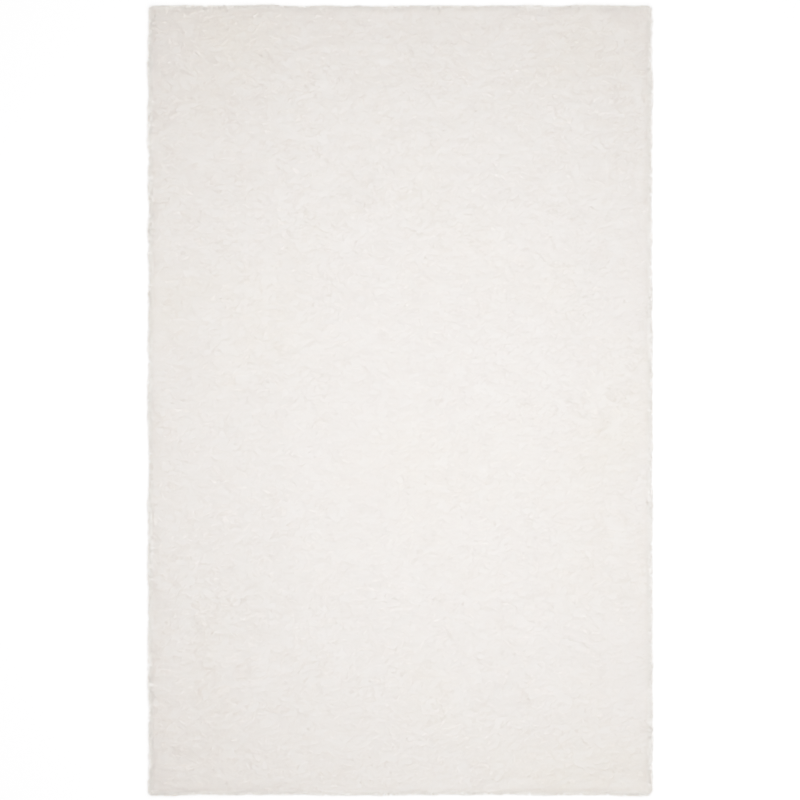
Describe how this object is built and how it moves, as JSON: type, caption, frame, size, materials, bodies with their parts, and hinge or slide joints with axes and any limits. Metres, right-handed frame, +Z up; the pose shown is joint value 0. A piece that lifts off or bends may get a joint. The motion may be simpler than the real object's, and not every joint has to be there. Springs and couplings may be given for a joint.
{
  "type": "shag rug",
  "caption": "Rectangular ivory shag rug lying flat: a thick mat of combed pile with soft tufts on top and loose locks round its rim.",
  "frame": {"origin": "on the floor under the centre of the rug", "axes": "+X across the rug, the way its pile is combed, +Y along its length, which is up in the picture, +Z up out of the pile"},
  "size_m": [1.558, 2.438, 0.0416],
  "materials": {
    "pile_yarn": "soft brushed shag yarn, ivory, matt with a faint silky sheen",
    "ground_cloth": "plain woven undyed ground cloth, seen only from below"
  },
  "bodies": {
    "root": {"rug": "pile_yarn"}
  },
  "joints": []
}
